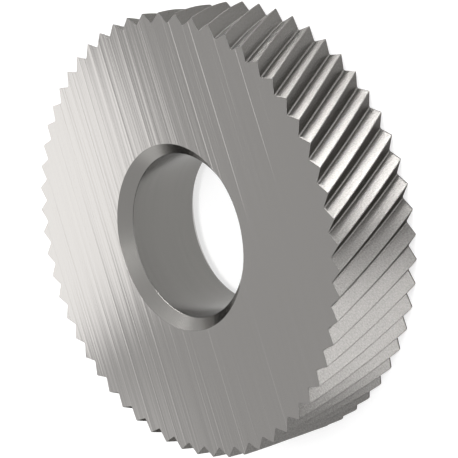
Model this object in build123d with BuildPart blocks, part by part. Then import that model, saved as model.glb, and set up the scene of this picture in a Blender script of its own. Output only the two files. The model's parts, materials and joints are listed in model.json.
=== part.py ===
from build123d import *
import os
from math import cos, pi, radians, sin, tan

os.makedirs("parts", exist_ok=True)

# A knurling wheel lies on its lower side face: Z runs along the bore, and z = 0 is that face.
# All lengths are in millimetres and all angles in degrees.

# The turned and ground blank
outer_diameter = 21.5
width = 5.0
bore_diameter = 8.0
bore_chamfer = 0.55

# The teeth, which run the whole width along left-hand helices
tooth_count = 58
helix_angle = 31.5  # at the crests, from the axis
groove_angle = 90.0  # included angle of the V, square to the teeth
crest_land = 0.04  # width left on each crest, square to the teeth
root_land = 0.06  # width of each groove's flat bottom, square to the teeth

# One V groove in the plane square to the axis, which cuts the teeth aslant
outer_radius = outer_diameter / 2
slant = cos(radians(helix_angle))
pitch = pi * outer_diameter / tooth_count
flank_slope = tan(radians(groove_angle / 2)) / slant
mouth_half_angle = (pitch - crest_land / slant) / outer_diameter
mouth_x = outer_radius * cos(mouth_half_angle)
mouth_y = outer_radius * sin(mouth_half_angle)
root_y = root_land / slant / 2
root_x = mouth_x - (mouth_y - root_y) / flank_slope

# The cutter runs on past the blank, along the same flanks
overrun_x = outer_radius + crest_land
overrun_y = mouth_y + (overrun_x - mouth_x) * flank_slope

# How far a crest goes along the axis in one full turn
lead = pi * outer_diameter / tan(radians(helix_angle))

with BuildSketch() as groove:
    with BuildLine():
        Polyline(
            (overrun_x, -overrun_y),
            (root_x, -root_y),
            (root_x, root_y),
            (overrun_x, overrun_y),
            close=True,
        )
    make_face()

with BuildPart() as knurling_wheel:
    with BuildSketch():
        Circle(outer_radius)
        with PolarLocations(0, tooth_count):
            add(groove.sketch, mode=Mode.SUBTRACT)
    with BuildLine() as axis:
        Line((0, 0, 0), (0, 0, width))
    guide = Edge.make_helix(lead, width, outer_radius, lefthand=True)
    sweep(path=axis.line, binormal=guide)

    Hole(bore_diameter / 2)
    mouths = knurling_wheel.edges(Select.LAST).filter_by(GeomType.CIRCLE)
    chamfer(mouths, bore_chamfer)

knurling_wheel.part.label = "knurling_wheel"
export_step(knurling_wheel.part, "parts/knurling_wheel.step")
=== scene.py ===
import json
from itertools import accumulate
from math import atan2, cos, pi, radians, sin, sqrt, tan

import bpy
from mathutils import Matrix, Vector


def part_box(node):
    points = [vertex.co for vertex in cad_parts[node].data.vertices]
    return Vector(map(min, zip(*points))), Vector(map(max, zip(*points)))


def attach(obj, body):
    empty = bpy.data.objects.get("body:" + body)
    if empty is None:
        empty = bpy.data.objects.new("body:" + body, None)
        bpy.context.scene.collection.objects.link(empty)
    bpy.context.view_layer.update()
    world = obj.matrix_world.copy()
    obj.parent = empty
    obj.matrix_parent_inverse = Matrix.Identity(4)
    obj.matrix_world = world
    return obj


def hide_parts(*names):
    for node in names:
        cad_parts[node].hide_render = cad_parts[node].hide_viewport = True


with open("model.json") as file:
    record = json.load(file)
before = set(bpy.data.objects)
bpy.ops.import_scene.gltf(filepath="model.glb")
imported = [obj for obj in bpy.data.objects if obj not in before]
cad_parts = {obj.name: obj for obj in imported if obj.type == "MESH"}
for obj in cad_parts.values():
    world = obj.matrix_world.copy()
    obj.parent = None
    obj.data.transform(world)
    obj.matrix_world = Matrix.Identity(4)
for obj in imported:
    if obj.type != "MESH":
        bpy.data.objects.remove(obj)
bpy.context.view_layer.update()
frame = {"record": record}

MM = 0.001
NODE = "knurling_wheel"

# The wheel's size comes from the frame
low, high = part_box(NODE)
OUTER_RADIUS = (high.x - low.x) / 2
WIDTH = high.z - low.z
bore_mount = next(m for m in frame["record"]["mounts"] if m["name"] == "bore")
BORE_RADIUS = bore_mount["dims"]["r_mm"] * MM
BORE_CHAMFER = (WIDTH - bore_mount["dims"]["length_mm"] * MM) / 2
MOUTH_RADIUS = BORE_RADIUS + BORE_CHAMFER

# The teeth, as in the solid, on left-hand helices
TOOTH_COUNT = 58
HELIX_ANGLE = radians(31.5)  # at the crests, from the axis
GROOVE_ANGLE = radians(90)  # included angle of the V, square to the teeth
CREST_LAND = 0.04 * MM
ROOT_LAND = 0.06 * MM
TWIST_RATE = -tan(HELIX_ANGLE) / OUTER_RADIUS  # radians per metre of height

# What grinding leaves on the edges
CREST_ROUNDING = 0.006 * MM
ROOT_ROUNDING = 0.01 * MM
UPPER_EDGE_BREAK = 0.008 * MM
LOWER_EDGE_BREAK = 0.08 * MM
LOWER_EDGE_INSET = 0.03 * MM
BORE_EDGE_BREAK = 0.02 * MM

# How finely the mesh follows the form
CORNER_STEPS = 3
FLANK_STEPS = 3
AXIAL_STEPS = 30

# Where the side faces have rings between the teeth and the bore, as shares of the outer radius
FACE_RINGS = (0.95, 0.75)

# The parts of the skin, in the order of the wheel's steels
SIDE, TEETH, CHAMFER, BORE = range(4)

# The mesh's UV map, which says how the steel's grain runs
GRAIN_MAP = "grain"

# The side faces are ground in straight lines, at this angle from +X
BRUSH_ANGLE = radians(5)

# The lines that grinding, turning and honing leave: width, length and depth of one in mm,
# and the height of the noise below which there is none
FACE_LINES = [(0.06, 12, 0.0007, 0), (0.22, 18, 0.0025, 0), (0.06, 14, 0.0006, 0.64)]
TOOTH_GRAINS = [(0.03, 0.05, 0.008, 0)]
CHAMFER_LINES = [(0.04, 8, 0.0003, 0)]
BORE_LINES = [(0.05, 3, 0.0008, 0)]

LINE_FADE = 0.15  # how far the noise rises from no line to a whole one
NOISE_SCALE = 0.5  # one cell of the noise holds a line and the gap beside it
NOISE_DETAIL = 2

# The camera, fitted to the photograph: it looks down on the wheel and is turned on its own axis
VIEW_TARGET = Vector((-0.16, -0.86, 2.5)) * MM
VIEW_DISTANCE = 93.4 * MM
VIEW_ELEVATION = radians(40.70)
VIEW_AZIMUTH = radians(-89.27)
VIEW_ROLL = radians(-104.05)
LENS = 152.4
SENSOR_WIDTH = 36
CLIP_START = 5 * MM
CLIP_END = 10

# The floor's tone and its glow, which only the camera and mirroring surfaces see, look white together
FLOOR_REACH = 1.0
FLOOR_TONE = 0.4
FLOOR_GLOW = 0.68

# How bright the sky is between the lamps
SKY = 0.56

# The round lamp that the side face mirrors: azimuth from +X, elevation, radius and fade in degrees
ROUND_LAMP = (87.3, 32.7, 5.2, 1.8)
ROUND_LAMP_STRENGTH = 1.17

# Soft boxes round the wheel: azimuth from +X, half width and side fade, then the
# elevations between which they shine and their end fade, all in degrees, and how bright they are
SOFT_BOXES = [
    (-10, 15, 7, -5, 12, 8, 23.0),
    (18, 5, 10, -5, 9, 4, 28.0),
    (32, 4, 6, -5, 2, 2, 34.0),
    (-85, 20, 22, -5, 6, 7, 11.5),
    (109, 11, 5, 15, 32, 7, 1.0),
    (140, 18, 15, -5, 12, 10, 0.35),
    (-60, 35, 15, 66, 80, 4, 13.0),
]


def groove_corners():
    """Half a crest, a groove and half the next crest at z = 0: the corners of one pitch of the rim."""
    slant = cos(HELIX_ANGLE)
    half_pitch = pi / TOOTH_COUNT
    flank_slope = tan(GROOVE_ANGLE / 2) / slant
    mouth_angle = half_pitch - CREST_LAND / slant / 2 / OUTER_RADIUS
    mouth = Vector((cos(mouth_angle), sin(mouth_angle))) * OUTER_RADIUS
    crest = Vector((cos(half_pitch), sin(half_pitch))) * OUTER_RADIUS
    root_y = ROOT_LAND / slant / 2
    root = Vector((mouth.x - (mouth.y - root_y) / flank_slope, root_y))
    upper = [root, mouth, crest]
    return [Vector((p.x, -p.y)) for p in reversed(upper)] + upper


def rounded_pitch():
    """(angle, radius, normal) of each point along one pitch; the normal is as it would be at angle 0."""
    corners = groove_corners()
    ways = [(b - a).normalized() for a, b in zip(corners, corners[1:])]
    trims = [0, CREST_ROUNDING, ROOT_ROUNDING, ROOT_ROUNDING, CREST_ROUNDING, 0]
    cuts = [1, FLANK_STEPS, 1, FLANK_STEPS, 1]
    line = [(corners[0], ways[0])]
    for i, corner in enumerate(corners[1:-1], 1):
        before, after = ways[i - 1], ways[i]
        for step in range(CORNER_STEPS + 1):
            t = step / CORNER_STEPS
            place = corner - before * trims[i] * (1 - t) ** 2 + after * trims[i] * t ** 2
            line.append((place, before.lerp(after, t).normalized()))
        straight = (corners[i + 1] - corner).length - trims[i] - trims[i + 1]
        for step in range(1, cuts[i]):
            line.append((corner + after * (trims[i] + straight * step / cuts[i]), after))
    points = []
    for place, way in line:
        angle = atan2(place.y, place.x)
        normal = Matrix.Rotation(-angle, 2) @ Vector((way.y, -way.x))
        points.append((angle, place.length, normal))
    return points


PITCH = rounded_pitch()
OUTLINE = [
    (angle + 2 * pi * tooth / TOOTH_COUNT, radius, normal)
    for tooth in range(TOOTH_COUNT)
    for angle, radius, normal in PITCH
]


def rim_ring(z, inset=0.0, facing=0):
    """The toothed outline at height z, with normals that stand on the twisted flanks or on a side face."""
    places, normals = [], []
    for angle, radius, normal in OUTLINE:
        turn = Matrix.Rotation(angle + TWIST_RATE * z, 2)
        place = turn @ (Vector((radius, 0)) - normal * inset)
        out = turn @ normal
        lift = -TWIST_RATE * radius * normal.y
        places.append(Vector((place.x, place.y, z)))
        normals.append(Vector((0, 0, facing)) if facing else Vector((out.x, out.y, lift)).normalized())
    return places, normals, SIDE if facing else TEETH


def round_ring(radius, z, out, up, part):
    """A circle at height z, whose normals lean out from the axis and up by those shares."""
    places, normals = [], []
    for angle, _, _ in OUTLINE:
        way = Vector((cos(angle + TWIST_RATE * z), sin(angle + TWIST_RATE * z)))
        places.append(Vector((radius * way.x, radius * way.y, z)))
        normals.append(Vector((out * way.x, out * way.y, up)).normalized())
    return places, normals, part


def wheel_rings():
    """The skin's rings: out over the lower face, up the teeth, in over the upper face and down the bore."""
    face_radii = [share * OUTER_RADIUS for share in FACE_RINGS] + [MOUTH_RADIUS + UPPER_EDGE_BREAK]
    trim = BORE_EDGE_BREAK / sqrt(2)
    # Radius, depth below the face, the normal's shares out and up, and part
    bore_mouth = [
        (MOUTH_RADIUS - UPPER_EDGE_BREAK, UPPER_EDGE_BREAK, -1, 1, CHAMFER),
        (BORE_RADIUS + trim, BORE_CHAMFER - trim, -1, 1, CHAMFER),
        (BORE_RADIUS, BORE_CHAMFER + BORE_EDGE_BREAK, -1, 0, BORE),
    ]
    rings = [round_ring(radius, 0, 0, -1, SIDE) for radius in reversed(face_radii)]
    rings.append(rim_ring(0, LOWER_EDGE_INSET, -1))
    tooth_length = WIDTH - LOWER_EDGE_BREAK - UPPER_EDGE_BREAK
    for step in range(AXIAL_STEPS + 1):
        rings.append(rim_ring(LOWER_EDGE_BREAK + tooth_length * step / AXIAL_STEPS))
    rings.append(rim_ring(WIDTH, UPPER_EDGE_BREAK, 1))
    rings += [round_ring(radius, WIDTH, 0, 1, SIDE) for radius in face_radii]
    rings += [round_ring(r, WIDTH - depth, out, up, part) for r, depth, out, up, part in bore_mouth]
    rings += [round_ring(r, depth, out, -up, part) for r, depth, out, up, part in reversed(bore_mouth)]
    return rings


def grain_place(part, place, angle, along):
    """A corner's place on the steel's grain in mm: U runs across the grain, and V along it."""
    if part == SIDE:
        u = place.y * cos(BRUSH_ANGLE) - place.x * sin(BRUSH_ANGLE)
        v = place.x * cos(BRUSH_ANGLE) + place.y * sin(BRUSH_ANGLE)
    elif part == TEETH:
        u = place.z / cos(HELIX_ANGLE) - angle * OUTER_RADIUS * sin(HELIX_ANGLE)
        v = along
    else:
        u = place.z - place.xy.length
        v = angle * BORE_RADIUS
    return u / MM, v / MM


def skin_between(rings):
    """The faces between each ring and the next, their parts, and their corners' places on the grain."""
    count = len(OUTLINE)
    angles = [angle for angle, _, _ in OUTLINE] + [OUTLINE[0][0] + 2 * pi]
    # How far each point is along the outline at the lower face
    foot, _, _ = rim_ring(0, LOWER_EDGE_INSET)
    steps = [(foot[(i + 1) % count] - foot[i]).length for i in range(count)]
    along = [0, *accumulate(steps)]
    faces, parts, grain = [], [], []
    for ring in range(len(rings)):
        after = (ring + 1) % len(rings)
        part = max(rings[ring][2], rings[after][2])
        for i in range(count):
            corners = [(ring, i), (ring, i + 1), (after, i + 1), (after, i)]
            faces.append([k * count + j % count for k, j in corners])
            parts.append(part)
            for k, j in corners:
                grain += grain_place(part, rings[k][0][j % count], angles[j], along[j])
    return faces, parts, grain


def build_wheel():
    """The wheel's closed skin, with its steels still to come."""
    rings = wheel_rings()
    faces, parts, grain = skin_between(rings)
    points = [place for places, _, _ in rings for place in places]
    normals = [normal for _, ring_normals, _ in rings for normal in ring_normals]
    mesh = bpy.data.meshes.new("toothed_wheel")
    mesh.from_pydata(points, [], faces)
    mesh.polygons.foreach_set("material_index", parts)
    mesh.uv_layers.new(name=GRAIN_MAP).uv.foreach_set("vector", grain)
    mesh.shade_smooth()
    mesh.normals_split_custom_set_from_vertices(normals)
    wheel = bpy.data.objects.new("toothed_wheel", mesh)
    bpy.context.scene.collection.objects.link(wheel)
    return wheel


def link(tree, *pairs):
    for source, target in pairs:
        tree.links.new(source, target)


def combine(tree, operation, *values):
    """The outcome of one operation on numbers and outputs of nodes."""
    node = tree.nodes.new("ShaderNodeMath")
    node.operation = operation
    for socket, value in zip(node.inputs, values):
        if isinstance(value, (int, float)):
            socket.default_value = value
        else:
            link(tree, (value, socket))
    return node.outputs[0]


def ramp(tree, value, start, end):
    """0 up to start and 1 from end, smooth in between."""
    node = tree.nodes.new("ShaderNodeMapRange")
    node.interpolation_type = "SMOOTHSTEP"
    node.inputs["From Min"].default_value = start
    node.inputs["From Max"].default_value = end
    link(tree, (value, node.inputs["Value"]))
    return node.outputs["Result"]


def line_height(tree, place, width, length, least):
    """Noise drawn out along V, as a height between 0 and 1."""
    stretch = tree.nodes.new("ShaderNodeMapping")
    stretch.inputs["Scale"].default_value = (1 / width, 1 / length, 1)
    noise = tree.nodes.new("ShaderNodeTexNoise")
    noise.noise_dimensions = "2D"
    noise.inputs["Scale"].default_value = NOISE_SCALE
    noise.inputs["Detail"].default_value = NOISE_DETAIL
    link(tree, (place, stretch.inputs["Vector"]), (stretch.outputs["Vector"], noise.inputs["Vector"]))
    height = noise.outputs[0]
    return ramp(tree, height, least, least + LINE_FADE) if least else height


def raised(tree, surface, height, depth):
    """The surface's normal after a height is laid on it; the first one is laid on the mesh itself."""
    bump = tree.nodes.new("ShaderNodeBump")
    bump.inputs["Strength"].default_value = 1
    bump.inputs["Distance"].default_value = depth
    link(tree, (height, bump.inputs["Height"]))
    if surface:
        link(tree, (surface, bump.inputs["Normal"]))
    return bump.outputs["Normal"]


def ground_steel(name, colour, edge_tint, roughness, anisotropy, patchiness, lines):
    """Steel whose grain runs along V; its tone goes up and down by the patchiness along the first lines."""
    material = bpy.data.materials.new(name)
    material.use_nodes = True
    tree = material.node_tree
    shader = tree.nodes["Principled BSDF"]
    shader.inputs["Metallic"].default_value = 1
    shader.inputs["Roughness"].default_value = roughness
    shader.inputs["Anisotropic"].default_value = anisotropy
    shader.inputs["Specular Tint"].default_value = (edge_tint, edge_tint, edge_tint, 1)
    tangent = tree.nodes.new("ShaderNodeTangent")
    tangent.direction_type = "UV_MAP"
    tangent.uv_map = GRAIN_MAP
    place = tree.nodes.new("ShaderNodeUVMap")
    place.uv_map = GRAIN_MAP
    link(tree, (tangent.outputs["Tangent"], shader.inputs["Tangent"]))
    surface = None
    heights = []
    for width, length, depth, least in lines:
        heights.append(line_height(tree, place.outputs["UV"], width, length, least))
        surface = raised(tree, surface, heights[-1], depth * MM)
    tone = combine(tree, "MULTIPLY_ADD", heights[0], 2 * patchiness, 1 - patchiness)
    shade = tree.nodes.new("ShaderNodeVectorMath")
    shade.operation = "SCALE"
    shade.inputs[0].default_value = colour
    link(
        tree,
        (tone, shade.inputs["Scale"]),
        (shade.outputs[0], shader.inputs["Base Color"]),
        (surface, shader.inputs["Normal"]),
    )
    return material


def wheel_steels():
    """The steels in the order of the parts: SIDE, TEETH, CHAMFER, BORE."""
    return [
        ground_steel(
            "brushed_side_face", (0.46, 0.445, 0.43), edge_tint=1,
            roughness=0.08, anisotropy=0.3, patchiness=0.02, lines=FACE_LINES,
        ),
        # Partly painted shade: the teeth's steel is much darker than the side face's, partly as the ground
        # steel's own tone and partly so that the flanks which mirror the white floor look dark. Its low
        # edge tint darkens those flanks further.
        ground_steel(
            "ground_teeth_painted_shade", (0.21, 0.204, 0.196), edge_tint=0.15,
            roughness=0.38, anisotropy=0.8, patchiness=0.45, lines=TOOTH_GRAINS,
        ),
        ground_steel(
            "turned_chamfer", (0.38, 0.369, 0.353), edge_tint=1,
            roughness=0.2, anisotropy=0.2, patchiness=0.04, lines=CHAMFER_LINES,
        ),
        # Painted shade: the bore's steel is set as dark as the teeth's, so that the bore looks dark
        # although it mirrors the white floor in the hole.
        ground_steel(
            "honed_bore_painted_shade", (0.208, 0.203, 0.194), edge_tint=1,
            roughness=0.24, anisotropy=0.3, patchiness=0.05, lines=BORE_LINES,
        ),
    ]


def direction(azimuth, elevation):
    """The unit vector that points that far round from +X and that far up."""
    level = cos(elevation)
    return Vector((level * cos(azimuth), level * sin(azimuth), sin(elevation)))


def add_camera():
    towards = direction(VIEW_AZIMUTH, VIEW_ELEVATION)
    upright = (-towards).to_track_quat("-Z", "Y").to_matrix()
    turn = upright @ Matrix.Rotation(VIEW_ROLL, 3, "Z")
    data = bpy.data.cameras.new("view")
    data.lens = LENS
    data.sensor_width = SENSOR_WIDTH
    data.clip_start = CLIP_START
    data.clip_end = CLIP_END
    camera = bpy.data.objects.new("view", data)
    camera.matrix_world = Matrix.Translation(VIEW_TARGET + towards * VIEW_DISTANCE) @ turn.to_4x4()
    bpy.context.scene.collection.objects.link(camera)
    bpy.context.scene.camera = camera


def floor_material():
    """A dull grey that glows up to white for camera, glossy and transmission rays only."""
    material = bpy.data.materials.new("white_floor")
    material.use_nodes = True
    tree = material.node_tree
    shader = tree.nodes["Principled BSDF"]
    shader.inputs["Base Color"].default_value = (FLOOR_TONE, FLOOR_TONE, FLOOR_TONE, 1)
    shader.inputs["Roughness"].default_value = 1
    shader.inputs["Specular IOR Level"].default_value = 0
    shader.inputs["Emission Color"].default_value = (1, 1, 1, 1)
    path = tree.nodes.new("ShaderNodeLightPath")
    seen = combine(tree, "MAXIMUM", path.outputs["Is Camera Ray"], path.outputs["Is Glossy Ray"])
    seen = combine(tree, "MAXIMUM", seen, path.outputs["Is Transmission Ray"])
    glow = combine(tree, "MULTIPLY", seen, FLOOR_GLOW)
    link(tree, (glow, shader.inputs["Emission Strength"]))
    return material


def add_floor():
    """A floor that looks white and keeps the wheel's soft shadow."""
    mesh = bpy.data.meshes.new("floor")
    signs = [(-1, -1), (1, -1), (1, 1), (-1, 1)]
    mesh.from_pydata([(x * FLOOR_REACH, y * FLOOR_REACH, 0) for x, y in signs], [], [(0, 1, 2, 3)])
    mesh.materials.append(floor_material())
    floor = bpy.data.objects.new("floor", mesh)
    bpy.context.scene.collection.objects.link(floor)


def round_lamp(tree, way):
    """1 inside the round lamp and 0 outside it."""
    azimuth, elevation, radius, fade = [radians(value) for value in ROUND_LAMP]
    towards = tree.nodes.new("ShaderNodeVectorMath")
    towards.operation = "DOT_PRODUCT"
    towards.inputs[1].default_value = direction(azimuth, elevation)
    link(tree, (way, towards.inputs[0]))
    return ramp(tree, towards.outputs["Value"], cos(radius + fade), cos(radius))


def soft_box(tree, way, azimuth, half_width, side_fade, low_end, high_end, end_fade):
    """1 inside the soft box and 0 outside it."""
    turn = tree.nodes.new("ShaderNodeVectorRotate")
    turn.rotation_type = "Z_AXIS"
    turn.inputs["Angle"].default_value = -radians(azimuth)
    turned = tree.nodes.new("ShaderNodeSeparateXYZ")
    link(tree, (way, turn.inputs["Vector"]), (turn.outputs[0], turned.inputs[0]))
    away = combine(tree, "ABSOLUTE", combine(tree, "ARCTAN2", turned.outputs["Y"], turned.outputs["X"]))
    across = ramp(tree, away, radians(half_width + side_fade), radians(half_width))
    height = turned.outputs["Z"]
    above = ramp(tree, height, sin(radians(low_end - end_fade)), sin(radians(low_end)))
    below = ramp(tree, height, sin(radians(high_end + end_fade)), sin(radians(high_end)))
    return combine(tree, "MULTIPLY", combine(tree, "MULTIPLY", across, above), below)


def add_studio_light():
    """An even sky, with the round lamp and the soft boxes added on it."""
    world = bpy.data.worlds.new("studio")
    bpy.context.scene.world = world
    world.use_nodes = True
    tree = world.node_tree
    way = tree.nodes.new("ShaderNodeTexCoord").outputs["Generated"]
    light = combine(tree, "MULTIPLY_ADD", round_lamp(tree, way), ROUND_LAMP_STRENGTH, SKY)
    for *shape, strength in SOFT_BOXES:
        light = combine(tree, "MULTIPLY_ADD", soft_box(tree, way, *shape), strength, light)
    link(tree, (light, tree.nodes["Background"].inputs["Color"]))


add_camera()
add_floor()
wheel = build_wheel()
for steel in wheel_steels():
    wheel.data.materials.append(steel)
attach(wheel, "root")
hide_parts(NODE)

add_studio_light()
bpy.context.scene.view_settings.view_transform = "Standard"
